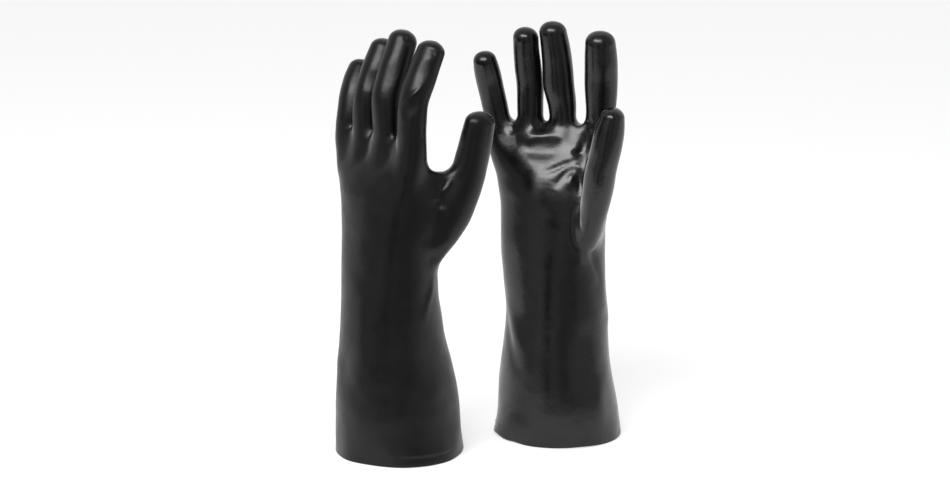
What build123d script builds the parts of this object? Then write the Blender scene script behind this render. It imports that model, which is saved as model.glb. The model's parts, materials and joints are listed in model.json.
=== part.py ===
"""A pair of long rubber gauntlets, standing on their cuffs with the fingers up.

Each glove is a knitted cotton liner inside a dipped rubber coat. Both are hollow shells, divided where
the fingers and the thumb bend, so that each stretch that moves by itself is a piece of its own. The
liner of the arm and palm is sewn from a palm panel and a back panel, with a seam down each side.

A glove is worked out in glove axes: the origin in the middle of the cuff's cut edge, +X towards the
thumb side, +Y out of the palm, +Z towards the fingertips. The right glove is the mirror of the left.
Both are then turned and set down side by side, on Z = 0, with the pair's middle at the origin.
All sizes are in millimetres and degrees.
"""

import os
from math import cos, pi, radians, sin
from typing import NamedTuple

from build123d import *

# Walls: the dipped rubber coat, and the interlock cotton knit bonded to its inside
COAT = 1.4
LINER = 0.8
SKINS = {"coat": (0.0, COAT), "liner": (COAT, COAT + LINER)}  # depths of each skin's outside and inside
LINER_SETBACK = 3.0  # the liner stops this far short of the cut edge of the coat
CUFF_TRIM = 10.0  # the arm is lofted this far past the cut edge, then cut off flat
# The coat of the arm and palm is divided across at these heights, with the knuckles above the last
COAT_CUTS = {"cuff_coat": 88.0, "forearm_coat": 158.0, "palm_coat": 214.0}

# Bends
BEND_GAP = 0.4  # free space between the two sides of a bend
ROUND_SPARE = 1.2  # how far the round of a bend stands out past the digit's half depth
SIDE_SPARE = 0.9  # how far the tool that shapes a bend stands out past the digit's half width
RUN_ON = 4.0  # how far a tube runs on past a bend's round before it is trimmed
REACH = 60.0  # longer than any digit is thick

# Liner side seams: the overlocked seam allowance that stands up inside the liner
SEAM_HEIGHT = 1.2
SEAM_WIDTH = 3.0
SEAM_TOP = 236.0
SEAM_LEAN = 1.4  # degrees that the plane of the seams leans towards the back of the hand

# Where the middle of each cuff stands, and how far the glove is turned about +Z
STANCES = {"left": (-67.3, -25.1, -51.0), "right": (68.0, 25.9, -17.0)}

OUTLINE_POINTS = 16  # points of the spline round each oval


class Oval(NamedTuple):
    """A cross-section: its middle, its half sizes, and how square it is, where 2 is an ellipse."""

    x: float
    y: float
    z: float
    half_width: float
    half_depth: float
    squareness: float = 2.0


ARM = [
    Oval(0.0, 0.0, -CUFF_TRIM, 55.6, 53.2),
    Oval(0.0, 0.0, 0.0, 54.4, 52.9),
    Oval(-1.0, -1.0, 40.0, 49.5, 51.5),
    Oval(-2.0, -2.0, 70.0, 45.8, 48.3),
    Oval(-3.5, -3.0, 105.0, 43.6, 42.5),
    Oval(-5.0, -3.6, 140.0, 43.0, 38.8),
    Oval(-7.0, -4.0, 175.0, 42.0, 34.5, 2.1),
    Oval(-9.5, -4.0, 210.0, 44.0, 31.0, 2.2),
    Oval(-12.0, -5.5, 240.0, 50.0, 24.0, 2.5),
    Oval(-12.5, -8.0, 257.0, 55.0, 17.0, 3.0),
    Oval(-12.5, -9.5, 266.0, 56.5, 12.5, 3.5),
]

# The web of skin between the palm's edge and the thumb, whose ovals are long towards the thumb
WEB_TURN = 74.0
WEB = [
    Oval(16.0, 4.0, 150.0, 14.0, 8.0),
    Oval(27.0, 10.0, 178.0, 21.0, 14.0),
    Oval(34.0, 16.0, 208.0, 26.0, 14.0),
    Oval(37.0, 20.0, 232.0, 26.0, 9.0),
]


class Digit(NamedTuple):
    """A finger or the thumb, from its root inside the palm, over its bends, to the middle of its round end."""

    roots: list  # (x, y, z, half size) of the sections below the first bend
    bends: list  # where each bend's axis crosses the digit's middle line
    end: tuple
    half_sizes: list  # (half width, half depth) at each bend and at the end
    bends_towards: tuple = (0, 1, 0)


DIGITS = {
    "index": Digit(
        [(29.0, -8.0, 246.0, 8.5)],
        [(33.0, -7.0, 279.0), (34.0, -1.0, 310.0)],
        (35.0, 9.0, 336.0),
        [(13.8, 11.6), (13.4, 11.2), (12.6, 10.6)],
    ),
    "middle": Digit(
        [(-0.5, -8.0, 246.0, 9.5)],
        [(0.5, -8.5, 279.0), (-0.5, -2.0, 313.0)],
        (-2.0, 9.0, 343.0),
        [(13.4, 11.6), (13.0, 11.2), (12.2, 10.6)],
    ),
    "ring": Digit(
        [(-27.0, -8.0, 246.0, 9.5)],
        [(-28.0, -8.5, 279.0), (-28.5, -3.0, 310.0)],
        (-28.0, 6.0, 337.0),
        [(12.2, 11.0), (11.8, 10.6), (11.0, 10.0)],
    ),
    "little": Digit(
        [(-50.0, -8.0, 246.0, 7.5)],
        [(-56.5, -6.5, 277.0), (-60.0, -0.5, 299.0)],
        (-63.0, 9.0, 319.0),
        [(11.8, 10.4), (11.4, 10.0), (10.6, 9.6)],
    ),
    "thumb": Digit(
        [(20.0, 6.0, 160.0, 11.0), (30.0, 18.5, 182.0, 15.5), (39.0, 30.5, 214.0, 15.5)],
        [(45.5, 41.5, 249.0)],
        (53.0, 43.5, 277.0),
        [(14.0, 13.0), (13.0, 12.2)],
        (-1, 0, 0),
    ),
}
STRETCH_NAMES = {1: ["digit"], 2: ["base", "tip"]}


def node_name(side, digit_name, stretch, skin):
    """Such as left_index_tip_coat, or left_thumb_coat for a digit that bends only once."""
    count = len(DIGITS[digit_name].bends)
    part = "" if count == 1 else "_" + STRETCH_NAMES[count][stretch]
    return f"{side}_{digit_name}{part}_{skin}"


def oval_face(oval, depth, plane=None, turn=0.0):
    """An oval's face, drawn in by depth all round, on its own level or on a given plane."""
    plane = plane or Plane((oval.x, oval.y, oval.z))
    a, b = oval.half_width - depth, oval.half_depth - depth
    power = 2 / oval.squareness
    points = []
    for step in range(OUTLINE_POINTS):
        c, s = cos(2 * pi * step / OUTLINE_POINTS), sin(2 * pi * step / OUTLINE_POINTS)
        x = a * abs(c) ** power * (1 if c >= 0 else -1)
        y = b * abs(s) ** power * (1 if s >= 0 else -1)
        points.append((x, y))
    with BuildSketch(plane.rotated((0, 0, turn))) as sketch:
        with BuildLine():
            Spline(*points, periodic=True)
        make_face()
    return sketch.sketch.face()


def level_faces(ovals, depth, turn=0.0):
    """The faces of a stack of ovals, the top one lowered by depth so that the top wall has it too."""
    stack = [*ovals[:-1], ovals[-1]._replace(z=ovals[-1].z - depth)]
    return [oval_face(oval, depth, turn=turn) for oval in stack]


def digit_frame(digit, bend):
    """The plane across a digit at a bend: X is the bend's axis, Y the way it bends, Z along the digit."""
    points = [Vector(*p) for p in (*digit.bends, digit.end)]
    along = (points[bend + 1] - points[bend]).normalized()
    across = Vector(*digit.bends_towards).cross(along).normalized()
    return Plane(points[bend], x_dir=across, z_dir=along)


def round_radius(digit, bend):
    return digit.half_sizes[bend][1] + ROUND_SPARE


def stretch_length(digit, stretch):
    points = [Vector(*p) for p in (*digit.bends, digit.end)]
    return (points[stretch + 1] - points[stretch]).length


def stretch_face(digit, stretch, height, depth, shrink=1.0):
    """The oval of a stretch at a height above its bend. Its sizes change evenly along the stretch."""
    share = height / stretch_length(digit, stretch)
    (w0, d0), (w1, d1) = digit.half_sizes[stretch : stretch + 2]
    width, half_depth = w0 + (w1 - w0) * min(share, 1), d0 + (d1 - d0) * min(share, 1)
    oval = Oval(0, 0, 0, (width - depth) * shrink, (half_depth - depth) * shrink)
    return oval_face(oval, 0.0, digit_frame(digit, stretch).offset(height))


def root_faces(digit, depth):
    """The ovals of a digit's root, from deep inside the palm to just past its first bend's round."""
    path = [Vector(*root[:3]) for root in digit.roots] + [Vector(*digit.bends[0])]
    faces = []
    for number, (x, y, z, half) in enumerate(digit.roots):
        along = (path[number + 1] - path[number]).normalized()
        across = Vector(*digit.bends_towards).cross(along).normalized()
        plane = Plane((x, y, z), x_dir=across, z_dir=along)
        faces.append(oval_face(Oval(0, 0, 0, half, half), depth, plane))
    for height in (0.0, round_radius(digit, 0) + RUN_ON):
        faces.append(stretch_face(digit, 0, height, depth))
    return faces


def bend_round(frame, radius, mode):
    """The round of a bend: a cylinder about its axis."""
    with Locations(Location(Plane(frame.origin, z_dir=frame.x_dir))):
        Cylinder(radius, 2 * REACH, mode=mode)


def trimmer(digit, bend):
    """What lies above a bend but outside its round. It is taken off the piece below the bend."""
    frame = digit_frame(digit, bend)
    width = 2 * (digit.half_sizes[bend][0] + SIDE_SPARE)
    with BuildPart() as tool:
        with Locations(Location(frame)):
            Box(width, REACH, REACH, align=(Align.CENTER, Align.CENTER, Align.MIN))
        bend_round(frame, round_radius(digit, bend), Mode.SUBTRACT)
    return tool.part


def hand_solid(depth):
    """The arm, palm, thumb web and digit roots as one solid, drawn in by depth all over."""
    with BuildPart() as solid:
        loft(level_faces(ARM, depth))
        loft(level_faces(WEB, depth, WEB_TURN))
        for digit in DIGITS.values():
            loft(root_faces(digit, depth))
    return solid.part


def hand_shell(skin):
    """One skin of the arm, the palm and the roots of the digits."""
    outside, inside = SKINS[skin]
    with BuildPart() as shell:
        add(hand_solid(outside))
        add(hand_solid(inside), mode=Mode.SUBTRACT)
        for digit in DIGITS.values():
            add(trimmer(digit, 0), mode=Mode.SUBTRACT)
        edge = LINER_SETBACK if skin == "liner" else 0.0
        split(bisect_by=Plane.XY.offset(edge), keep=Keep.TOP)
    return shell.part


def coat_lengths(shell):
    """The hand's coat, divided across the arm at COAT_CUTS."""
    lengths = {}
    rest = shell
    for name, top in COAT_CUTS.items():
        with BuildPart() as below:
            add(rest)
            split(bisect_by=Plane.XY.offset(top), keep=Keep.BOTTOM)
        with BuildPart() as above:
            add(rest)
            split(bisect_by=Plane.XY.offset(top), keep=Keep.TOP)
        lengths[name] = below.part
        rest = above.part
    return lengths | {"knuckle_coat": rest}


def seam_plane():
    """The plane of the liner's side seams: across the cuff's middle, leaning to the back of the hand."""
    lean = radians(SEAM_LEAN)
    return Plane((0, 0, 0), x_dir=(1, 0, 0), z_dir=(0, cos(lean), sin(lean)))


def liner_panel(shell, keep):
    """The palm panel or the back panel of the liner."""
    with BuildPart() as panel:
        add(shell)
        split(bisect_by=seam_plane(), keep=keep)
    return panel.part


def liner_seams():
    """The two seam allowances that stand up inside the liner, one down each side."""
    inside = COAT + LINER
    with BuildPart() as seams:
        loft(level_faces(ARM, inside))
        loft(level_faces(ARM, inside + SEAM_HEIGHT), mode=Mode.SUBTRACT)
        with Locations(Location(seam_plane())):
            Box(4 * REACH, 10 * REACH, SEAM_WIDTH, mode=Mode.INTERSECT)
        split(bisect_by=Plane.XY.offset(LINER_SETBACK), keep=Keep.TOP)
        split(bisect_by=Plane.XY.offset(SEAM_TOP), keep=Keep.BOTTOM)
    return seams.part


def stretch_solid(digit, stretch, depth):
    """One stretch of a digit as a solid, drawn in by depth: a tube to the next bend, or one with a round end."""
    length = stretch_length(digit, stretch)
    is_last = stretch + 1 == len(digit.bends)
    run = length if is_last else length + round_radius(digit, stretch + 1) + RUN_ON
    with BuildPart() as solid:
        loft([stretch_face(digit, stretch, height, depth) for height in (-depth, run)], ruled=True)
        if is_last:
            radius = digit.half_sizes[-1][1] - depth
            faces = []
            for angle in (0, 14, 28, 42, 56, 70):
                rise, shrink = radius * sin(radians(angle)), cos(radians(angle))
                faces.append(stretch_face(digit, stretch, length + rise, depth, shrink))
            loft(faces)
    return solid.part


def stretch_shell(digit, stretch, skin):
    """One skin of one stretch of a digit."""
    outside, inside = SKINS[skin]
    frame = digit_frame(digit, stretch)
    with BuildPart() as shell:
        add(stretch_solid(digit, stretch, outside))
        add(stretch_solid(digit, stretch, inside), mode=Mode.SUBTRACT)
        split(bisect_by=frame, keep=Keep.TOP)
        bend_round(frame, round_radius(digit, stretch) + BEND_GAP, Mode.SUBTRACT)
        if stretch + 1 < len(digit.bends):
            add(trimmer(digit, stretch + 1), mode=Mode.SUBTRACT)
    return shell.part


def stand(shape, side):
    """A piece of the left glove, set down where that piece of the given glove stands."""
    x, y, turn = STANCES[side]
    if side == "right":
        shape = shape.mirror(Plane.XZ)
    return Location((x, y, 0), (0, 0, turn)) * shape


def glove_pieces():
    """Every piece of one glove, in glove axes, by its name without the side."""
    pieces = coat_lengths(hand_shell("coat"))
    liner = hand_shell("liner")
    pieces["palm_liner"] = liner_panel(liner, Keep.TOP)
    pieces["back_liner"] = liner_panel(liner, Keep.BOTTOM)
    pieces["side_seams"] = liner_seams()
    for name, digit in DIGITS.items():
        for stretch in range(len(digit.bends)):
            for skin in SKINS:
                piece = node_name("", name, stretch, skin).lstrip("_")
                pieces[piece] = stretch_shell(digit, stretch, skin)
    return pieces


def main():
    os.makedirs("parts", exist_ok=True)
    for piece, shape in glove_pieces().items():
        for side in STANCES:
            node = stand(shape, side)
            node.label = f"{side}_{piece}"
            export_step(node, f"parts/{node.label}.step")


if __name__ == "__main__":
    main()
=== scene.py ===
"""The looks of a pair of long rubber gauntlets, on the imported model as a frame.

Each glove is worked out in glove axes, in millimetres: the origin in the middle of the cuff's cut
edge, +X towards the thumb side, +Y out of the palm, +Z towards the fingertips. Its skin is the zero
level of a distance field, which is blended from a tapering arm, the digits and the web of the thumb.
Creases, folds and dents then move the skin's points in or out. The right glove is mirrored, and both
are set down where the frame's gloves stand.
"""

import json
import math

import bpy
import numpy as np
import openvdb
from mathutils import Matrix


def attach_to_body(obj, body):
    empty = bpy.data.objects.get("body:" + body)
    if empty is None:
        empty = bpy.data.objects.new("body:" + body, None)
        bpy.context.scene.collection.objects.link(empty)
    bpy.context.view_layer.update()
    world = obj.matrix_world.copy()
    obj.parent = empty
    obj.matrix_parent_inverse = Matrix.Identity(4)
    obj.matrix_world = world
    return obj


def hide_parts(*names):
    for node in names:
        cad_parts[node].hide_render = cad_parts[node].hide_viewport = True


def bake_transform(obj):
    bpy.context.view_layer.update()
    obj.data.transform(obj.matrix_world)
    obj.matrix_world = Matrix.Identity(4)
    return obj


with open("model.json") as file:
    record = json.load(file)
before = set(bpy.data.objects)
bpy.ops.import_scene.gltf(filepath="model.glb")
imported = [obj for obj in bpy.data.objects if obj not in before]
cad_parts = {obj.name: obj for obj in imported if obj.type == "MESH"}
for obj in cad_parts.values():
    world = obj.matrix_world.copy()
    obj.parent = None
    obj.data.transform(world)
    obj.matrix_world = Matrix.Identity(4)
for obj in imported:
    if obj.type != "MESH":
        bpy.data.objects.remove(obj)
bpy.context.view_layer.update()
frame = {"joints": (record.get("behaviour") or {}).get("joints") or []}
joints = {joint["name"]: joint for joint in frame["joints"]}

COAT = 1.4
LINER = 0.8
STANCES = {"left": (-67.3, -25.1, -51.0), "right": (68.0, 25.9, -17.0)}


# ---------------------------------------------------------------- the shape of a glove

# Arm and palm: height, middle x and y, half width, half depth, squareness (2 is an ellipse)
ARM = [
    (-10.0, 0.0, 0.0, 55.4, 53.0, 2.0),
    (0.0, 0.0, 0.0, 54.4, 52.7, 2.0),
    (20.0, -0.5, -0.5, 51.8, 52.4, 2.0),
    (40.0, -1.0, -1.0, 49.5, 51.5, 2.0),
    (70.0, -2.0, -2.0, 45.8, 48.3, 2.0),
    (105.0, -3.5, -3.0, 43.6, 42.5, 2.0),
    (140.0, -5.0, -3.6, 43.0, 38.8, 2.0),
    (175.0, -6.2, -4.0, 43.0, 34.5, 2.1),
    (198.0, -6.8, -4.1, 45.0, 31.6, 2.1),
    (210.0, -8.0, -4.2, 46.2, 29.8, 2.1),
    (222.0, -9.5, -5.2, 47.5, 27.1, 2.15),
    (234.0, -11.5, -5.9, 50.0, 22.6, 2.3),
    (246.0, -12.5, -5.8, 52.2, 16.4, 2.6),
    (256.0, -12.8, -6.9, 53.6, 12.1, 3.0),
    (280.0, -13.0, -7.0, 55.0, 5.0, 3.0),
]
# The thumb's web: the same, with ovals turned by WEB_TURN about +Z
WEB_TURN = 74.0
WEB = [
    (150.0, 16.0, 4.0, 13.0, 7.0, 2.0),
    (178.0, 27.0, 10.0, 20.0, 12.0, 2.0),
    (208.0, 34.0, 16.0, 25.0, 12.0, 2.0),
    (232.0, 37.0, 20.0, 25.0, 8.0, 2.0),
    (250.0, 38.0, 21.0, 25.0, 6.0, 2.0),
]

# Digits: points down the middle with half width and half depth, from root to tip
RIGHT_DIGITS = {
    "index": [
        (26.0, -7.0, 215.0, 8.0, 9.0),
        (29.0, -7.5, 240.0, 11.5, 13.0),
        (31.0, -7.8, 260.0, 12.6, 12.2),
        (33.0, -7.0, 279.0, 13.2, 11.6),
        (34.0, -2.0, 305.0, 13.9, 11.4),
        (34.7, 5.0, 325.0, 13.4, 11.2),
        (35.0, 9.0, 337.0, 12.0, 10.6),
    ],
    "middle": [
        (-1.0, -7.0, 215.0, 8.0, 9.0),
        (-0.5, -7.8, 240.0, 11.5, 13.0),
        (0.2, -8.5, 260.0, 12.0, 12.4),
        (-0.4, -8.3, 279.0, 12.8, 11.8),
        (-2.2, -4.2, 296.0, 13.6, 11.8),
        (-2.9, -0.3, 315.0, 13.3, 11.6),
        (-3.4, 4.5, 331.0, 12.8, 11.2),
        (-4.2, 9.0, 344.5, 11.8, 10.6),
    ],
    "ring": [
        (-25.0, -7.0, 215.0, 8.0, 9.0),
        (-26.5, -7.8, 240.0, 11.0, 12.6),
        (-27.6, -8.5, 260.0, 11.4, 11.8),
        (-28.6, -9.8, 279.0, 12.1, 11.2),
        (-28.7, -9.0, 296.0, 12.2, 11.2),
        (-28.9, -4.0, 312.0, 11.9, 11.0),
        (-29.0, 1.2, 326.0, 11.6, 10.8),
        (-28.4, 6.0, 338.5, 10.9, 10.0),
    ],
    "little": [
        (-46.0, -7.0, 218.0, 6.0, 8.0),
        (-49.5, -7.5, 240.0, 9.0, 11.0),
        (-54.5, -7.5, 260.0, 11.0, 10.8),
        (-58.0, -6.5, 277.0, 11.6, 10.6),
        (-61.4, -0.5, 299.0, 11.6, 10.4),
        (-62.6, 4.5, 310.5, 11.2, 10.2),
        (-63.2, 8.5, 318.6, 10.2, 9.6),
    ],
    "thumb": [
        (31.5, 17.5, 168.0, 2.5, 2.0),
        (34.9, 22.0, 182.7, 7.0, 5.5),
        (37.3, 26.5, 195.5, 10.5, 9.1),
        (39.5, 30.0, 208.0, 13.0, 11.8),
        (42.7, 34.5, 223.0, 14.8, 12.8),
        (46.3, 39.0, 240.0, 14.8, 12.9),
        (49.9, 41.5, 254.0, 14.2, 12.5),
        (52.7, 43.0, 267.0, 13.0, 11.5),
        (55.6, 44.0, 281.0, 10.5, 9.2),
    ],
}
# The left glove's fingers curl a little more, and its thumb runs deeper into the palm
LEFT_DIGITS = RIGHT_DIGITS | {
    "thumb": [
        (29.0, 10.0, 163.0, 4.5, 4.5),
        (35.0, 18.0, 180.0, 9.5, 9.5),
        (40.0, 26.5, 199.0, 14.5, 12.5),
        (43.2, 35.5, 222.0, 15.5, 13.5),
        (46.6, 42.0, 249.0, 15.4, 13.6),
        (50.2, 44.0, 265.0, 15.4, 12.8),
        (52.8, 45.4, 278.0, 14.6, 11.8),
    ],
    "index": [
        *RIGHT_DIGITS["index"][:2],
        (31.0, -7.8, 260.0, 13.4, 12.2),
        (32.4, -8.6, 279.0, 14.0, 11.8),
        (33.0, -7.6, 297.0, 13.8, 11.8),
        (33.6, 0.5, 316.0, 13.8, 11.4),
        (34.0, 10.0, 336.5, 12.6, 10.8),
    ],
    "middle": [
        *RIGHT_DIGITS["middle"][:2],
        (0.2, -8.5, 260.0, 13.2, 12.4),
        (0.2, -9.6, 279.0, 13.7, 11.8),
        (-0.6, -8.4, 298.0, 13.2, 11.8),
        (-1.8, -0.6, 318.0, 13.0, 11.4),
        (-3.2, 10.0, 341.0, 11.8, 10.8),
    ],
    "ring": [
        *RIGHT_DIGITS["ring"][:2],
        (-27.6, -8.5, 260.0, 12.4, 11.8),
        (-28.8, -8.5, 279.0, 12.8, 11.2),
        (-28.6, -5.6, 298.0, 12.2, 11.0),
        (-28.8, 1.6, 315.5, 12.0, 10.8),
        (-28.8, 9.5, 331.5, 10.9, 10.2),
    ],
    "little": [
        *RIGHT_DIGITS["little"][:3],
        (-54.0, -6.0, 277.0, 11.2, 10.6),
        (-57.0, -0.5, 294.5, 11.4, 10.4),
        (-58.8, 4.8, 304.5, 11.2, 10.2),
        (-60.0, 9.2, 311.6, 10.4, 9.8),
    ],
}
DIGITS = {"left": LEFT_DIGITS, "right": RIGHT_DIGITS}
# How widely the web, and then the thumb, are rounded into the rest
BLENDS = {"left": (12.0, 8.0), "right": (8.0, 4.0)}
FINGERS = ["index", "middle", "ring", "little"]
BLUNT = 0.85  # length of a digit's round end, as a share of its half depth
FAR = 9.0  # the field is cut off this far from the skin
OUT_OF_REACH = 99.0
# Where the palm and the web end upwards, how widely their ends are rounded, and the boxes they are in
PALM_TOP, PALM_ROUND = 266.0, 9.0
PALM_BOX = ((-80, -70, -12), (60, 62, 290))
WEB_TOP, WEB_ROUND = 239.0, 8.0
WEB_BOX = ((-20, -40, 130), (80, 66, 262))
FINGER_BLEND = 7.0
# Room round a digit's middle line for its field: towards the low corner and towards the high one
FINGER_ROOM = (26, 22)
THUMB_ROOM = (30, 22)
RELAXING = (0.5, -0.52)  # shares of the way to the neighbours' mean, in and out
PALMWARD = {name: (0.0, 1.0, 0.0) for name in FINGERS} | {"thumb": (-1.0, 0.0, 0.0)}


def along_curve(knots, at):
    """Rows of a smooth curve through knots (first column the parameter), at the given parameters."""
    knots = np.asarray(knots, float)
    t, rows = knots[:, 0], knots[:, 1:]
    slopes = np.gradient(rows, t, axis=0)
    at = np.clip(at, t[0], t[-1])
    i = np.clip(np.searchsorted(t, at) - 1, 0, len(t) - 2)
    h = (t[i + 1] - t[i])[:, None]
    s = (at - t[i])[:, None] / h
    return (
        (1 + 2 * s) * (1 - s) ** 2 * rows[i]
        + s * (1 - s) ** 2 * h * slopes[i]
        + s * s * (3 - 2 * s) * rows[i + 1]
        + s * s * (s - 1) * h * slopes[i + 1]
    )


def smooth_min(a, b, k):
    """The nearer of two distances, rounded over a width k where they are about equal."""
    h = np.clip(0.5 + 0.5 * (b - a) / k, 0, 1)
    return b + (a - b) * h - k * h * (1 - h)


def smooth_max(a, b, k):
    """The farther of two distances, rounded in the same way."""
    return -smooth_min(-a, -b, k)


class Grid:
    """A box of points in glove axes, and parts of it."""

    def __init__(self, low, high, step):
        self.low, self.step = np.array(low, float), step
        self.shape = tuple(int(n) for n in np.ceil((np.array(high) - self.low) / step))

    def part(self, low, high):
        """(slices, x, y, z) of the points between two corners."""
        first = np.clip(((np.array(low) - self.low) / self.step).astype(int), 0, self.shape)
        last = np.clip(((np.array(high) - self.low) / self.step).astype(int) + 1, 0, self.shape)
        where = tuple(slice(a, b) for a, b in zip(first, last))
        axes = [self.low[i] + self.step * np.arange(first[i], last[i]) for i in range(3)]
        x, y, z = (a.astype(np.float32) for a in axes)
        return where, x[:, None, None], y[None, :, None], z[None, None, :]


def stack_distance(rows, x, y, z, turn=0.0):
    """Distance from a stack of superellipses, one at each height."""
    cx, cy, a, b, n = along_curve(rows, z.ravel()).astype(np.float32).T[:, None, None, :]
    c, s = math.cos(math.radians(turn)), math.sin(math.radians(turn))
    dx, dy = x - cx, y - cy
    u, v = np.abs(dx * c + dy * s), np.abs(dy * c - dx * s)
    g = ((u / a) ** n + (v / b) ** n) ** (1 / n)
    r = np.sqrt(u * u + v * v)
    return r - r / np.maximum(g, 1e-3)


def tube_distance(rows, bends_towards, x, y, z, samples=30):
    """Distance from a round-ended tube of changing oval section along a smooth curve."""
    rows = np.asarray(rows, float)
    lengths = np.r_[0, np.cumsum(np.linalg.norm(np.diff(rows[:, :3], axis=0), axis=1))]
    line = along_curve(np.c_[lengths, rows], np.linspace(0, lengths[-1], samples))
    best = np.full(np.broadcast_shapes(x.shape, y.shape, z.shape), OUT_OF_REACH, np.float32)
    for p, q in zip(line, line[1:]):
        d = q[:3] - p[:3]
        length = np.linalg.norm(d)
        d = d / length
        across = np.cross(bends_towards, d)
        across /= np.linalg.norm(across)
        depth = np.cross(d, across)
        dx, dy, dz = x - p[0], y - p[1], z - p[2]
        t = dx * d[0] + dy * d[1] + dz * d[2]
        s = np.clip(t / length, 0, 1)
        over = t - s * length
        u = dx * across[0] + dy * across[1] + dz * across[2]
        v = dx * depth[0] + dy * depth[1] + dz * depth[2]
        a = p[3] + (q[3] - p[3]) * s
        b = p[4] + (q[4] - p[4]) * s
        g = np.sqrt((u / a) ** 2 + (v / b) ** 2 + (over / (BLUNT * b)) ** 2)
        r = np.sqrt(u * u + v * v + over * over)
        best = np.minimum(best, r - r / np.maximum(g, 1e-3))
    return best


def digit_field(grid, rows, bends_towards, room):
    """(slices, distance) of a digit, in the part of the grid that is near it."""
    middles = np.array(rows)[:, :3]
    where, x, y, z = grid.part(middles.min(0) - room[0], middles.max(0) + room[1])
    return where, tube_distance(rows, bends_towards, x, y, z)


def glove_field(grid, side):
    """The distance field of a whole glove."""
    digits, (web_blend, thumb_blend) = DIGITS[side], BLENDS[side]
    field = np.full(grid.shape, FAR, np.float32)
    where, x, y, z = grid.part(*PALM_BOX)
    field[where] = smooth_max(stack_distance(ARM, x, y, z), z - PALM_TOP, PALM_ROUND)
    bare = field.copy()
    for name in FINGERS:
        where, tube = digit_field(grid, digits[name], PALMWARD[name], FINGER_ROOM)
        field[where] = np.minimum(field[where], smooth_min(bare[where], tube, FINGER_BLEND))
    where, x, y, z = grid.part(*WEB_BOX)
    web = smooth_max(stack_distance(WEB, x, y, z, WEB_TURN), z - WEB_TOP, WEB_ROUND)
    field[where] = smooth_min(field[where], web, web_blend)
    where, tube = digit_field(grid, digits["thumb"], PALMWARD["thumb"], THUMB_ROOM)
    field[where] = smooth_min(field[where], tube, thumb_blend)
    return field


def field_mesh(grid, field):
    """(points, quads) of the field's zero level."""
    volume = openvdb.FloatGrid(background=FAR)
    volume.copyFromArray(np.clip(field, -FAR, FAR).astype(np.float32))
    points, quads = volume.convertToQuads(isovalue=0.0)
    return grid.low + points.astype(float) * grid.step, quads.astype(np.int64)


# ---------------------------------------------------------------- working on (points, quads)


def point_normals(points, quads):
    """Each point's normal, as the mean of its faces' by their area."""
    a, b, c, d = (points[quads[:, i]] for i in range(4))
    face = np.cross(c - a, d - b)
    normals = np.zeros_like(points)
    for i in range(4):
        for axis in range(3):
            normals[:, axis] += np.bincount(quads[:, i], face[:, axis], len(points))
    return normals / np.maximum(np.linalg.norm(normals, axis=1), 1e-9)[:, None]


def directed_edges(quads):
    return np.concatenate([quads[:, [i, (i + 1) % 4]] for i in range(4)])


def relaxed(points, quads, rounds):
    """Smoothed in and out by turns, so that it keeps its size."""
    edges = np.unique(np.sort(directed_edges(quads), axis=1), axis=0)
    count = np.bincount(edges.ravel(), minlength=len(points))[:, None]
    for share in RELAXING * rounds:
        total = np.zeros_like(points)
        for axis in range(3):
            total[:, axis] = np.bincount(edges[:, 0], points[edges[:, 1], axis], len(points))
            total[:, axis] += np.bincount(edges[:, 1], points[edges[:, 0], axis], len(points))
        points = points + share * (total / count - points)
    return points


def kept(points, quads, keep):
    """Only the kept faces, with their points renumbered. Also returns the old numbers."""
    quads = quads[keep]
    used, flat = np.unique(quads, return_inverse=True)
    return points[used], flat.reshape(-1, 4), used


# ---------------------------------------------------------------- folds, creases, dents and swells

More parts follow.
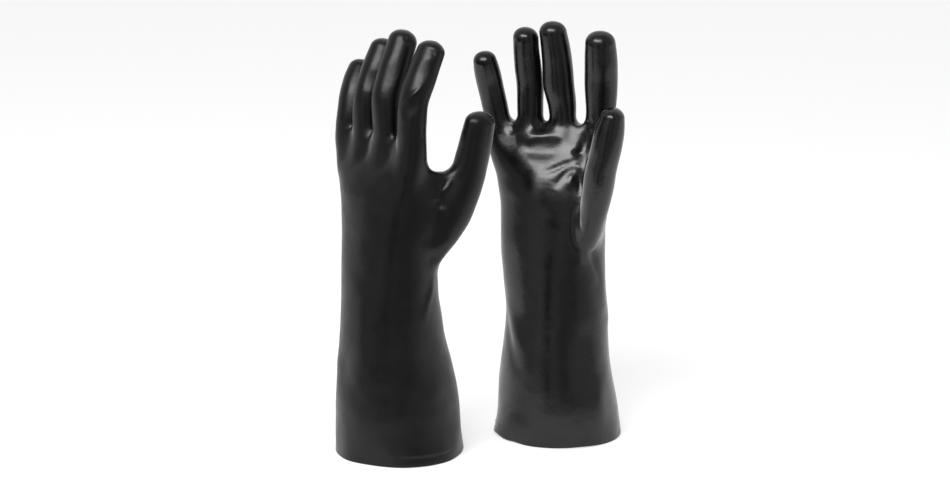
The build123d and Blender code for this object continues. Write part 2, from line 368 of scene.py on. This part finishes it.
# Each is a width, a height (below 0 it is a groove or a dent) and a line in glove axes
FOLDS = {
    "left": [
        # the index finger's slanting fold, with the flat above it and the dent below it
        (1.8, 1.2, [(47, -5, 316), (44.3, -10.1, 309), (40, -15, 302), (35, -17, 296)]),
        (5.0, -1.3, [(45, -9, 302), (40, -14, 294), (34, -17, 287)]),
        (8.0, -0.8, [(44, -1, 332), (44.7, -5, 322), (44.5, -8, 312)]),
        (2.0, -0.5, [(44, -1, 342), (44.6, 3, 337), (43, 7, 333)]),
        # the flat on the middle finger, and the tuck at its tip
        (6.0, -0.7, [(8, -5, 332), (8, -11, 315), (8.6, -15, 298)]),
        (1.5, -0.8, [(7, 2, 350), (9, 6, 344), (8, 10, 338)]),
        (5.0, -0.7, [(-19, -7, 318), (-19, -12, 300)]),
        # creases of the thumb's web
        (1.4, 1.3, [(42, 9, 234), (43.4, 9.5, 227), (43.4, 10.5, 221)]),
        (1.4, 1.3, [(46.5, 21.4, 234), (46, 16, 227), (44, 11.5, 222)]),
        (5.0, -1.5, [(43, 9, 219), (42.5, 9, 209)]),
        # folds round the ball of the thumb
        (6.0, 1.1, [(36, -2, 175), (43, 11.7, 180), (48.2, 23, 186)]),
        (5.0, -1.2, [(35, 2, 166), (38, 8, 168), (40, 13, 170)]),
        (3.4, 0.8, [(33, 12, 160), (34.9, 9.5, 146), (37.7, 3, 132), (38.5, -4, 112)]),
        (8.0, -0.8, [(39, 9, 156), (41, 3, 142), (42, -4, 118)]),
        # swells and dents of the arm
        (25.0, 2.2, [(29, 39, 104), (31, 41, 60), (34, 42, 14)]),
        (13.0, -1.6, [(-12, -46, 100), (-8.7, -47, 80), (-2.7, -52, 50)]),
        (10.0, 0.9, [(-30, -38, 110), (-32, -42, 70), (-34, -42, 35)]),
        (14.0, -1.2, [(30, -36, 110), (34, -38, 70), (38, -36, 40)]),
        (9.0, 1.0, [(10, -41, 150), (12, -45, 110), (15, -50, 60)]),
        # folds of the skin between the knuckles, and the valleys below them
        (6.0, -1.1, [(16, -22, 262), (13, -24, 252), (9, -27, 242)]),
        (6.0, -1.0, [(-14, -22, 262), (-16, -24, 253), (-17, -27, 244)]),
    ],
    "right": [
        # the roll under the ring and middle fingers, and the dent below it
        (5.5, 2.1, [(-36, 6, 253), (-13.4, 6, 257.5), (10, 5, 257)]),
        (6.0, -1.0, [(-34, 10, 245), (-11, 11, 244), (8, 10, 246)]),
        # the pit beside the thumb, and the creases that fan out of it
        (5.0, -2.4, [(26.9, 4.7, 265), (23.2, 6.4, 253.4), (21, 11.4, 243), (19.6, 15, 235)]),
        (2.2, -0.9, [(22.3, 9.4, 247.2), (17.4, 10.3, 245.4), (11.4, 10.1, 246)]),
        (3.0, -0.8, [(21.7, 13.2, 239.3), (8.5, 15, 235.6), (-3.7, 17.5, 230), (-13.6, 19, 227.5)]),
        (3.4, -1.1, [(20.6, 15.5, 234.6), (11.1, 18.3, 228.7), (5.2, 21.7, 221.4), (2.5, 24, 215)]),
        (2.0, 0.7, [(16, 17.4, 230.5), (14.5, 21.2, 222.7), (13.7, 24.5, 214)]),
        # the groove between the thumb and the palm, and on down the arm
        (3.2, -3.2, [(20, 16.3, 233), (21.2, 23.8, 216), (22.3, 27.5, 198), (28.3, 30, 178.8)]),
        (4.0, -1.4, [(28, 24, 180), (31.5, 16, 162), (34, 10, 148), (37, 3, 130)]),
        # the valleys between the roots of the fingers
        (5.5, -1.3, [(-17, 4.5, 274), (-16, 4.8, 264.7), (-15, 5, 257)]),
        (4.0, -1.2, [(20.8, 4.6, 273), (22.6, 4.5, 269), (23.5, 4.8, 264.9)]),
        (3.5, -1.2, [(-43, 0, 268), (-42, 2, 262), (-40, 5, 256)]),
        # swells and dents of the arm
        (25.0, 1.8, [(-46, 9, 205), (-46, 9, 150), (-47, 10, 106)]),
        (25.0, -2.0, [(43, -14, 100), (44, -15, 60), (47, -15, 20)]),
        (7.0, 1.2, [(-40, 18, 120), (-30, 34, 96), (-20, 44, 76)]),
        (7.0, -1.2, [(-42, 14, 106), (-32, 34, 80), (-22, 44, 58)]),
        (14.0, 1.0, [(-26, 28, 150), (-28, 36, 90), (-30, 42, 30)]),
        (13.0, -1.4, [(28, 26, 120), (30, 36, 75), (30, 42, 35)]),
        (9.0, 1.2, [(36, 18, 60), (38, 24, 30), (40, 30, 5)]),
    ],
}
# Where the cuff's cut edge is off the floor: direction from +X and spread in degrees, and how far
CUFF_LIFTS = {
    "left": [(-150, 16, 1.2), (-20, 25, 0.4), (60, 20, 1.4), (150, 30, 1.0)],
    "right": [(150, 14, 2.6), (120, 10, 1.0), (50, 20, 0.9), (-30, 25, 1.2), (-120, 25, 1.0)],
}
# Swells of the whole skin: wavelength and height
SWELLS = [(55.0, 1.3), (27.0, 0.8), (13.0, 0.26)]
SWELL_SEEDS = {"left": 10, "right": 20}
# The cuff's own unevenness, which dies away upwards
CUFF_SEEDS = {"left": 30, "right": 31}
CUFF_WAVELENGTH, CUFF_HEIGHT, CUFF_FADE = 26.0, 1.3, 16
# The ridge that the liner's seam raises along each digit, and how far behind the middle line it runs
DIGIT_RIDGE, DIGIT_RIDGE_WIDTH, DIGIT_RIDGE_BEHIND = 0.3, 2.0, 3.0
SEAM_ROWS = 5  # how many of a digit's rows, from the tip down, it follows
FOLD_FADE = 1.3  # the higher, the sooner a fold dies away towards its ends


def value_noise(points, wavelength, seed):
    """Smooth noise from -1 to 1, from a seeded lattice."""
    lattice = np.random.default_rng(seed).uniform(-1, 1, (32, 32, 32))
    at = points / wavelength + 64
    cell = np.floor(at).astype(int)
    part = at - cell
    part = part * part * (3 - 2 * part)
    total = np.zeros(len(points))
    for corner in np.ndindex(2, 2, 2):
        share = np.where(corner, part, 1 - part).prod(axis=1)
        total += share * lattice[tuple(((cell + corner) % 32).T)]
    return total


def line_profile(points, line, width):
    """How strongly each point is moved by a fold along a line: 1 on the line, 0 away from it."""
    strength = np.zeros(len(points))
    near = np.all((points > line.min(0) - 4 * width) & (points < line.max(0) + 4 * width), axis=1)
    some = points[near]
    best = np.full(len(some), 1e9)
    along = np.zeros(len(some))
    for number, (p, q) in enumerate(zip(line, line[1:])):
        d = q - p
        t = np.clip((some - p) @ d / max(d @ d, 1e-9), 0, 1)
        away = ((some - p - t[:, None] * d) ** 2).sum(axis=1)
        closer = away < best
        best[closer] = away[closer]
        along[closer] = (number + t[closer]) / (len(line) - 1)
    away = best / width**2
    strength[near] = np.exp(-away) * np.clip(4 * along * (1 - along), 0, 1) ** FOLD_FADE
    return strength


def curve_through(knots, samples=18):
    """A smooth line through knots, with its samples evenly spaced."""
    knots = np.asarray(knots, float)
    lengths = np.r_[0, np.cumsum(np.linalg.norm(np.diff(knots, axis=0), axis=1))]
    return along_curve(np.c_[lengths, knots], np.linspace(0, lengths[-1], samples))


def seam_line(rows, bends_towards):
    """The liner's seam up one side of a digit, over its tip and down the other side."""
    rows = np.array(rows)[-SEAM_ROWS:]
    line = []
    for sign, some in ((1, rows), (-1, rows[::-1])):
        d = np.gradient(some[:, :3], axis=0) * sign
        across = np.cross(bends_towards, d)
        across /= np.linalg.norm(across, axis=1)[:, None]
        back = np.asarray(bends_towards) * -DIGIT_RIDGE_BEHIND
        line.extend(some[:, :3] + sign * across * some[:, 3:4] + back)
    tip = rows[-1, :3] + (rows[-1, :3] - rows[-2, :3]) * 0.9
    line.insert(len(rows), tip)
    return line


def on_skin(points, line):
    """The skin's point that is nearest to each point of a line."""
    return [points[np.argmin(((points - p) ** 2).sum(axis=1))] for p in line]


def sculpted(points, normals, side):
    """The skin's points, moved in and out by its folds, seams and swells."""
    move = np.zeros(len(points))
    for seed, (wavelength, height) in enumerate(SWELLS, SWELL_SEEDS[side]):
        move += height * value_noise(points, wavelength, seed)
    for width, height, line in FOLDS[side]:
        move += height * line_profile(points, curve_through(on_skin(points, line)), width)
    for name, rows in DIGITS[side].items():
        line = on_skin(points, seam_line(rows, PALMWARD[name]))
        move += DIGIT_RIDGE * line_profile(points, curve_through(line, 40), DIGIT_RIDGE_WIDTH)
    low = np.exp(-np.maximum(points[:, 2], 0) / CUFF_FADE)
    move += CUFF_HEIGHT * low * value_noise(points, CUFF_WAVELENGTH, CUFF_SEEDS[side])
    return points + normals * move[:, None]


# ---------------------------------------------------------------- one glove

GLOVE_BOX = ((-80.0, -66.0, -7.8), (82.0, 70.0, 364.0))
FINE = Grid(*GLOVE_BOX, 1.3)
COARSE = Grid(*GLOVE_BOX, 2.4)
# The heights of the cut edges, and the air between the coat and the liner
COAT_EDGE, LINER_EDGE = 0.3, 3.2
LINER_GAP = 0.25
RELAXING_ROUNDS = 3
CUFF_LIFT_FADE = 9  # height over which a lift of the cuff's edge dies away
# The coat's cut edge and the first stretch of its inside: depth from its outside, and rise
CUFF_LIP = [(0.35, -0.25), (1.05, -0.25), (COAT, 0.1), (COAT, 3.0), (COAT, 9.0)]
# How far round the knit is laid, as the half size of what it is laid round
KNIT_ROUND_HAND, KNIT_ROUND_DIGIT = 46.0, 11.0
# The liner's side seams: from and to which height, and how far their plane leans to the hand's back
SEAM_LOW, SEAM_HIGH = 3.6, 232.0
SEAM_LEAN = 1.4
SEAM_STEP = 0.8  # from one point of a seam's line to the next
SEAM_REACH = 2.0  # the liner's points this near the seams' plane say where a seam lies
# The seam allowance's outline, as height off the liner and place across the seam
SEAM_FLAP = [(-0.1, -1.4), (0.5, -1.5), (0.95, -0.7), (0.95, 0.7), (0.5, 1.5), (-0.1, 1.4)]
# The thread: half its thickness, its loops' half breadth, height and rise, and steps to a loop
THREAD, LOOP_BREADTH, LOOP_HEIGHT, LOOP_RISE, LOOP_STEPS = 0.2, 1.65, 0.5, 0.72, 2.4
# Half the length, along the digit, over which the skin bends at a joint
BEND_REACH = {"index": 13.0, "middle": 13.0, "ring": 13.0, "little": 11.0, "thumb": 13.0}


def placed(points, side):
    """Glove axes in millimetres to the frame in metres."""
    x, y, turn = STANCES[side]
    points = points * (1, -1 if side == "right" else 1, 1)
    c, s = math.cos(math.radians(turn)), math.sin(math.radians(turn))
    spin = np.array([[c, -s, 0], [s, c, 0], [0, 0, 1]])
    return (points @ spin.T + (x, y, 0)) / 1000


def unplaced(point, side):
    """The frame in metres to glove axes in millimetres."""
    x, y, turn = STANCES[side]
    c, s = math.cos(math.radians(turn)), math.sin(math.radians(turn))
    dx, dy, z = point[0] * 1000 - x, point[1] * 1000 - y, point[2] * 1000
    return np.array([dx * c + dy * s, (dy * c - dx * s) * (-1 if side == "right" else 1), z])


def bend_points(side, name):
    """Where a digit bends, in glove axes: the joints' own places in the frame."""
    if name == "thumb":
        stems = [f"{side}_thumb_bend"]
    else:
        stems = [f"{side}_{name}_base_bend", f"{side}_{name}_tip_bend"]
    return [unplaced(joints[stem]["pos_m"], side) for stem in stems]


def zones(side, name):
    """[(start, end)] of the stretch that bends at each of a digit's joints, and its direction."""
    points = [*bend_points(side, name), np.array(DIGITS[side][name][-1][:3])]
    found = []
    for p, q in zip(points, points[1:]):
        along = (q - p) / np.linalg.norm(q - p)
        reach = BEND_REACH[name] * along
        found.append((p - reach, p + reach, along))
    return found


def stretches(side, middles):
    """For each face: 0 on the hand, or else the number of its digit's stretch in STRETCHES."""
    nearest = np.full(len(middles), 1e9)
    digit = np.zeros(len(middles), int)
    for number, rows in enumerate(DIGITS[side].values()):
        rows = np.array(rows)
        for p, q in zip(rows, rows[1:]):
            d = q[:3] - p[:3]
            t = np.clip((middles - p[:3]) @ d / (d @ d), 0, 1)[:, None]
            away = np.linalg.norm(middles - p[:3] - t * d, axis=1)
            share = away / (p[3] + (q[3] - p[3]) * t[:, 0])
            closer = share < nearest
            nearest[closer], digit[closer] = share[closer], number
    found = np.zeros(len(middles), int)
    for number, name in enumerate(DIGITS[side]):
        mine = digit == number
        spans = zones(side, name)
        start, _, along = spans[0]
        beyond = mine & ((middles - start) @ along > 0)
        found[beyond] = STRETCHES.index((name, 0))
        if len(spans) > 1:
            cut = (spans[0][1] + spans[1][0]) / 2
            beyond &= (middles - cut) @ spans[1][2] > 0
            found[beyond] = STRETCHES.index((name, 1))
    return found


LINER_INSIDE = {}  # for each side, the points and normals that its side seams lie on
STRETCHES = [("hand", 0), *[(name, n) for name in FINGERS for n in (0, 1)], ("thumb", 0)]


def body_name(side, stretch):
    name, number = stretch
    if name in ("hand", "thumb"):
        return f"{side}_{name}"
    return f"{side}_{name}_{('base', 'tip')[number]}"


def attach(piece, side, stretch):
    """Rides on the hand, or else stays where it is, with its place baked into its mesh."""
    name, number = stretch
    if name == "hand":
        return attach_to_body(piece, f"{side}_hand")
    start, end, _ = zones(side, name)[number]
    start, end = (tuple(placed(p, side)) for p in (start, end))
    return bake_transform(piece)


def make_object(name, points, quads, side, material, normals=None):
    mesh = bpy.data.meshes.new(name)
    if side == "right":
        quads = quads[:, ::-1]
    mesh.vertices.add(len(points))
    mesh.vertices.foreach_set("co", placed(points, side).astype(np.float32).ravel())
    mesh.loops.add(quads.size)
    mesh.loops.foreach_set("vertex_index", quads.astype(np.int32).ravel())
    mesh.polygons.add(len(quads))
    mesh.polygons.foreach_set("loop_start", np.arange(0, quads.size, 4, dtype=np.int32))
    mesh.polygons.foreach_set("use_smooth", np.ones(len(quads), bool))
    mesh.update()
    mesh.validate()
    mesh.materials.append(material)
    if normals is not None:
        turned = placed(points + normals, side) - placed(points, side)
        turned /= np.maximum(np.linalg.norm(turned, axis=1), 1e-9)[:, None]
        mesh.normals_split_custom_set_from_vertices(turned.astype(np.float32))
    piece = bpy.data.objects.new(name, mesh)
    bpy.context.collection.objects.link(piece)
    return piece


def knit_map(piece, points, quads, side, stretch):
    """The knit's rows and columns: how far round the stretch's middle line, and how far along it."""
    if stretch[0] == "hand":
        middle = along_curve(np.array(ARM), points[:, 2])
        round_size = KNIT_ROUND_HAND
        u = np.arctan2(points[:, 0] - middle[:, 0], points[:, 1] - middle[:, 1])
        v = points[:, 2]
    else:
        start, _, along = zones(side, stretch[0])[stretch[1]]
        middle = points - start - ((points - start) @ along)[:, None] * along
        across = np.cross(along, PALMWARD[stretch[0]])
        round_size = KNIT_ROUND_DIGIT
        u = np.arctan2(middle @ across, middle @ np.cross(across, along))
        v = (points - start) @ along
    turn = u[quads]
    turn = turn + 2 * math.pi * (turn < turn.max(axis=1)[:, None] - math.pi)
    layer = piece.data.uv_layers.new(name="knit")
    loops = np.stack([turn * round_size, v[quads]], axis=-1)
    if side == "right":
        loops = loops[:, ::-1]
    layer.data.foreach_set("uv", (loops / 10).astype(np.float32).ravel())


def rim_of(quads):
    """The directed edges that only one face has."""
    keys = {(a, b) for a, b in directed_edges(quads).tolist()}
    return np.array([(a, b) for a, b in keys if (b, a) not in keys])


def cuff_ring(points, quads):
    """The points of the cuff's cut edge, in order round it."""
    rim = rim_of(quads)
    ring = np.unique(rim[points[rim[:, 0], 2] < 8])
    return ring[np.argsort(np.arctan2(points[ring, 1], points[ring, 0]))]


def cuff_lip(points, quads, ring):
    """The cuff's cut edge and the first stretch of the coat's inside."""
    inward = -points[ring] * (1, 1, 0)
    inward /= np.linalg.norm(inward, axis=1)[:, None]
    rows, faces, last = [], [], ring
    for depth, rise in CUFF_LIP:
        row = len(points) + sum(map(len, rows)) + np.arange(len(ring))
        rows.append(points[ring] + inward * depth + (0, 0, rise))
        faces.append(np.c_[row, np.roll(row, -1), np.roll(last, -1), last])
        last = row
    return np.concatenate([points, *rows]), np.concatenate([quads, *faces])


def shell(points, quads, normals, thickness):
    """A closed skin of a thickness under a surface."""
    count = len(points)
    rim = rim_of(quads)
    walls = np.c_[rim[:, 1], rim[:, 0], rim[:, 0] + count, rim[:, 1] + count]
    both = np.concatenate([points, points - normals * thickness])
    return both, np.concatenate([quads, quads[:, ::-1] + count, walls])


def glove_skin(side, grid, edge, depth):
    """(points, quads) of a surface at a depth in a glove, cut off at a height, with its cuff's ring."""
    points, quads = field_mesh(grid, glove_field(grid, side) + depth)
    points = relaxed(points, quads, RELAXING_ROUNDS)
    points = sculpted(points, point_normals(points, quads), side)
    points, quads, _ = kept(points, quads, points[quads][:, :, 2].min(1) > edge)
    ring = cuff_ring(points, quads)
    points[ring, 2] = edge
    turn = np.arctan2(points[:, 1], points[:, 0])
    for way, breadth, lift in CUFF_LIFTS[side]:
        away = (turn - math.radians(way) + math.pi) % (2 * math.pi) - math.pi
        rise = lift * np.exp(-((away / math.radians(breadth)) ** 2))
        points[:, 2] += rise * np.exp(-np.maximum(points[:, 2], 0) / CUFF_LIFT_FADE)
    return points, quads, ring


def coat_pieces(side):
    points, quads, ring = glove_skin(side, FINE, COAT_EDGE, 0.0)
    points, quads = cuff_lip(points, quads, ring)
    normals = point_normals(points, quads)
    where = stretches(side, points[quads].mean(1))
    for number, stretch in enumerate(STRETCHES):
        some, faces, used = kept(points, quads, where == number)
        body = body_name(side, stretch)
        piece = make_object(f"{body}_rubber", some, faces, side, RUBBER[side], normals[used])
        attach(piece, side, stretch)
        # The broad skins would put dark bands on each other
        piece.visible_glossy = number > 0
        if number == 0:
            nodes = [f"{side}_{length}_coat" for length in ("cuff", "forearm", "palm", "knuckle")]
        else:
            nodes = [f"{body}_coat"]
        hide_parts(*nodes)


def liner_pieces(side):
    points, quads, _ = glove_skin(side, COARSE, LINER_EDGE, COAT + LINER_GAP)
    normals = point_normals(points, quads)
    LINER_INSIDE[side] = points - normals * LINER, normals
    middles = points[quads].mean(1)
    where = stretches(side, middles)
    lean = math.radians(SEAM_LEAN)
    palm = middles @ (0, math.cos(lean), math.sin(lean)) > 0
    for number, stretch in enumerate(STRETCHES):
        body = body_name(side, stretch)
        panels = [(body, f"{body}_liner", where == number)]
        if stretch[0] == "hand":
            panels = [
                (f"{side}_palm", f"{side}_palm_liner", (where == number) & palm),
                (f"{side}_back", f"{side}_back_liner", (where == number) & ~palm),
            ]
        for name, node, keep in panels:
            some, faces, used = kept(points, quads, keep)
            some, faces = shell(some, faces, normals[used], LINER)
            piece = make_object(f"{name}_knit", some, faces, side, cotton)
            knit_map(piece, some, faces, side, stretch)
            attach(piece, side, stretch)
            piece.visible_glossy = number > 0
            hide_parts(node)


def swept(line, ring, outward):
    """(points, quads) of a closed profile swept along a line. The profile is (out, sideways)."""
    ahead = np.gradient(line, axis=0)
    ahead /= np.linalg.norm(ahead, axis=1)[:, None]
    out = outward - (outward * ahead).sum(axis=1)[:, None] * ahead
    out /= np.linalg.norm(out, axis=1)[:, None]
    sideways = np.cross(ahead, out)
    ring = np.asarray(ring, float)
    points = line[:, None] + out[:, None] * ring[None, :, :1] + sideways[:, None] * ring[None, :, 1:]
    count = len(ring)
    row = np.arange(len(line) - 1)[:, None] * count
    a, b = row + np.arange(count), row + (np.arange(count) + 1) % count
    quads = np.stack([a, b, b + count, a + count], axis=-1).reshape(-1, 4)
    ends = np.array([[3, 2, 1, 0]]) if count == 4 else np.empty((0, 4), int)
    far = (len(line) - 1) * count + ends[:, ::-1]
    return points.reshape(-1, 3), np.concatenate([quads, ends, far])


def seam_path(side, sign):
    """The line where a side seam lies on the liner's inside."""
    slope = math.tan(math.radians(SEAM_LEAN))
    heights = np.arange(SEAM_LOW, SEAM_HIGH, SEAM_STEP)
    points, normals = LINER_INSIDE[side]
    near = np.abs(points[:, 1] + points[:, 2] * slope) < SEAM_REACH
    near &= (points[:, 0] * sign > 12) & (np.abs(normals[:, 0]) > 0.3)
    some = points[near]
    some = some[np.argsort(some[:, 2])]
    x = np.interp(heights, some[:, 2], some[:, 0])
    x = np.convolve(np.pad(x, 6, mode="edge"), np.full(13, 1 / 13), "valid")
    return np.c_[x, -heights * slope, heights]


def seam_pieces(side):
    """The overlocked allowance down each side of the liner, and the thread looped over its edge."""
    points, quads, total = [], [], 0
    for sign in (-1, 1):
        line = seam_path(side, sign)
        inward = np.tile((-sign, 0.0, 0.0), (len(line), 1))
        parts = [swept(line, SEAM_FLAP, inward)]
        turns = np.arange(0, len(line) - 1, 0.09)
        at = np.array([np.interp(turns, np.arange(len(line)), line[:, i]) for i in range(3)]).T
        angle = turns * 2 * math.pi / LOOP_STEPS
        rise = -sign * (LOOP_HEIGHT + LOOP_RISE * np.sin(angle))
        thread = at + np.c_[rise, LOOP_BREADTH * np.cos(angle), 0 * angle]
        circle = [(THREAD * math.cos(t), THREAD * math.sin(t)) for t in np.arange(4) * math.pi / 2]
        parts.append(swept(thread, circle, np.tile((0.1, 0.2, 1.0), (len(thread), 1))))
        for some, faces in parts:
            points.append(some)
            quads.append(faces + total)
            total += len(some)
    points, quads = np.concatenate(points), np.concatenate(quads)
    piece = make_object(f"{side}_seam_overlock", points, quads, side, thread_look)
    attach(piece, side, STRETCHES[0])
    piece.visible_glossy = False
    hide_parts(f"{side}_side_seams")


# ---------------------------------------------------------------- materials


def noise_into(tree, scale, detail, coordinates):
    noise = tree.nodes.new("ShaderNodeTexNoise")
    noise.inputs["Scale"].default_value = scale
    noise.inputs["Detail"].default_value = detail
    tree.links.new(coordinates, noise.inputs["Vector"])
    return noise.outputs["Fac"]


def spread(tree, value, low, high):
    """A value from 0 to 1, stretched about its usual middle to run from low to high."""
    ranged = tree.nodes.new("ShaderNodeMapRange")
    ranged.inputs["From Min"].default_value = 0.3
    ranged.inputs["From Max"].default_value = 0.7
    ranged.inputs["To Min"].default_value = low
    ranged.inputs["To Max"].default_value = high
    tree.links.new(value, ranged.inputs["Value"])
    return ranged.outputs["Result"]


def ramp(tree, value, low, high):
    """A colour between two, by a value from 0 to 1."""
    blend = tree.nodes.new("ShaderNodeValToRGB")
    blend.color_ramp.elements[0].position = 0.3
    blend.color_ramp.elements[0].color = (*low, 1)
    blend.color_ramp.elements[1].position = 0.7
    blend.color_ramp.elements[1].color = (*high, 1)
    tree.links.new(value, blend.inputs["Fac"])
    return blend.outputs["Color"]


def bump(tree, height, strength, distance, below=None):
    bumped = tree.nodes.new("ShaderNodeBump")
    bumped.inputs["Strength"].default_value = strength
    bumped.inputs["Distance"].default_value = distance
    tree.links.new(height, bumped.inputs["Height"])
    if below:
        tree.links.new(below, bumped.inputs["Normal"])
    return bumped.outputs["Normal"]


def rubber_material(name, gloss, smooth, rough):
    """Dipped rubber: how much it mirrors, and its roughness in its smoothest and roughest patches."""
    material = bpy.data.materials.new(name)
    material.use_nodes = True
    tree = material.node_tree
    shader = tree.nodes["Principled BSDF"]
    here = tree.nodes.new("ShaderNodeTexCoord").outputs["Object"]
    film = noise_into(tree, 34.0, 5.0, here)
    tone = ramp(tree, film, (0.0018, 0.0018, 0.0019), (0.0036, 0.0036, 0.0038))
    tree.links.new(tone, shader.inputs["Base Color"])
    streaks = noise_into(tree, 90.0, 3.0, here)
    tree.links.new(spread(tree, streaks, smooth, rough), shader.inputs["Roughness"])
    shader.inputs["Specular IOR Level"].default_value = gloss
    peel = bump(tree, noise_into(tree, 160.0, 3.0, here), 0.5, 0.0003)
    grain = bump(tree, noise_into(tree, 1600.0, 2.0, here), 0.15, 0.00005, peel)
    tree.links.new(grain, shader.inputs["Normal"])
    return material


def cotton_material():
    """Interlock knit: columns of stitches 1.1 mm apart, each a chain of slanting loops."""
    material = bpy.data.materials.new("cotton_knit")
    material.use_nodes = True
    tree = material.node_tree
    shader = tree.nodes["Principled BSDF"]
    cloth = tree.nodes.new("ShaderNodeTexCoord").outputs["UV"]
    here = tree.nodes.new("ShaderNodeTexCoord").outputs["Object"]
    columns = tree.nodes.new("ShaderNodeTexWave")
    columns.inputs["Scale"].default_value = 2.9
    columns.inputs["Distortion"].default_value = 0.6
    columns.inputs["Detail Scale"].default_value = 3.0
    tree.links.new(cloth, columns.inputs["Vector"])
    rows = tree.nodes.new("ShaderNodeTexWave")
    rows.bands_direction = "Y"
    rows.inputs["Scale"].default_value = 3.9
    rows.inputs["Distortion"].default_value = 0.8
    tree.links.new(cloth, rows.inputs["Vector"])
    stitches = tree.nodes.new("ShaderNodeMath")
    stitches.operation = "MULTIPLY"
    tree.links.new(columns.outputs["Fac"], stitches.inputs[0])
    tree.links.new(rows.outputs["Fac"], stitches.inputs[1])
    tone = ramp(tree, noise_into(tree, 60.0, 4.0, here), (0.66, 0.63, 0.56), (0.82, 0.80, 0.74))
    tree.links.new(tone, shader.inputs["Base Color"])
    shader.inputs["Roughness"].default_value = 0.95
    shader.inputs["Specular IOR Level"].default_value = 0.2
    loops = bump(tree, stitches.outputs["Value"], 0.7, 0.0004)
    fluff = bump(tree, noise_into(tree, 2500.0, 3.0, here), 0.4, 0.0001, loops)
    tree.links.new(fluff, shader.inputs["Normal"])
    return material


def thread_material():
    """Twisted cotton thread."""
    material = bpy.data.materials.new("overlock_thread")
    material.use_nodes = True
    tree = material.node_tree
    shader = tree.nodes["Principled BSDF"]
    here = tree.nodes.new("ShaderNodeTexCoord").outputs["Object"]
    tone = ramp(tree, noise_into(tree, 120.0, 3.0, here), (0.70, 0.68, 0.61), (0.85, 0.83, 0.78))
    tree.links.new(tone, shader.inputs["Base Color"])
    shader.inputs["Roughness"].default_value = 0.85
    twist = bump(tree, noise_into(tree, 4000.0, 2.0, here), 0.5, 0.0001)
    tree.links.new(twist, shader.inputs["Normal"])
    return material


# The left glove shows its back, which is duller than the palm that the right one shows, so its rubber is
# rougher; it also mirrors less (0.3 against 0.45), which is painted shade that darkens the whole left
# glove
RUBBER = {
    "left": rubber_material("black_rubber_dull_and_shaded", 0.3, 0.3, 0.4),
    "right": rubber_material("black_rubber", 0.45, 0.21, 0.31),
}
cotton = cotton_material()
thread_look = thread_material()

for side in STANCES:
    coat_pieces(side)
    liner_pieces(side)
    seam_pieces(side)

# ---------------------------------------------------------------- stage, light and camera


def aim(thing, target):
    """Turned so that its -Z points at a place."""
    direction = np.array(target) - np.array(thing.location)
    thing.rotation_euler = (
        math.atan2(math.hypot(direction[0], direction[1]), -direction[2]),
        0,
        math.atan2(direction[1], direction[0]) - math.pi / 2,
    )


def softbox(name, location, target, width, height, power):
    light = bpy.data.lights.new(name, "AREA")
    light.shape = "RECTANGLE"
    light.size, light.size_y = width, height
    light.energy = power
    lamp = bpy.data.objects.new(name, light)
    lamp.location = location
    bpy.context.collection.objects.link(lamp)
    aim(lamp, target)


bpy.ops.mesh.primitive_plane_add(size=8, location=(0, 3.75, 0))
floor = bpy.context.object
floor.name = "studio_floor"
paint = bpy.data.materials.new("floor_paper")
paint.use_nodes = True
paper = paint.node_tree.nodes["Principled BSDF"]
paper.inputs["Base Color"].default_value = (0.62, 0.62, 0.62, 1)
paper.inputs["Roughness"].default_value = 0.9
# The paper glows a little, for a white ground
paper.inputs["Emission Color"].default_value = (1, 1, 1, 1)
paper.inputs["Emission Strength"].default_value = 0.46
floor.data.materials.append(paint)

world = bpy.data.worlds.new("studio")
bpy.context.scene.world = world
world.use_nodes = True
sky = world.node_tree
surround = sky.nodes["Background"]
# A white tent, dimmer towards the front, where the camera's gap in it is
turned = sky.nodes.new("ShaderNodeMapping")
turned.inputs["Rotation"].default_value = (0, 0, math.radians(90))
sky.links.new(sky.nodes.new("ShaderNodeTexCoord").outputs["Generated"], turned.inputs["Vector"])
round_it = sky.nodes.new("ShaderNodeTexGradient")
round_it.gradient_type = "RADIAL"
sky.links.new(turned.outputs["Vector"], round_it.inputs["Vector"])
tent = sky.nodes.new("ShaderNodeValToRGB")
tent.color_ramp.interpolation = "EASE"
# Round the horizon, from the back over the left to the front at 0.5 and on over the right: place, and
# how bright it is. The dark gap just left of the front is what shows as the streak down the right glove.
TENT = [
    (0.0, 1.3), (0.15, 0.8), (0.217, 0.55), (0.267, 0.36), (0.36, 0.42), (0.4, 0.6),
    (0.422, 0.5), (0.434, 0.0), (0.458, 0.0), (0.474, 0.46), (0.5, 0.42), (0.53, 0.26),
    (0.59, 0.26), (0.64, 0.5), (0.733, 0.45), (0.783, 0.8), (0.85, 1.0), (1.0, 1.3),
]
for number, (position, light) in enumerate(TENT):
    if number < 2:
        stop = tent.color_ramp.elements[number]
        stop.position = position
    else:
        stop = tent.color_ramp.elements.new(position)
    stop.color = (light, light, light, 1)
sky.links.new(round_it.outputs["Fac"], tent.inputs["Fac"])
sky.links.new(tent.outputs["Color"], surround.inputs["Color"])
surround.inputs["Strength"].default_value = 1.0

softbox("key", (-0.62, -1.32, 1.5), (0, 0, 0.25), width=1.5, height=0.7, power=40)

bpy.context.scene.view_settings.view_transform = "Standard"

CAMERA_DIP = 12.14  # degrees that the camera looks down
eye = bpy.data.cameras.new("camera")
eye.sensor_width = 36
eye.lens = 89.7
camera = bpy.data.objects.new("camera", eye)
camera.location = (-0.0029, -1.9251, 0.58)
camera.rotation_euler = (math.radians(90 - CAMERA_DIP), 0, 0)
bpy.context.collection.objects.link(camera)
bpy.context.scene.camera = camera
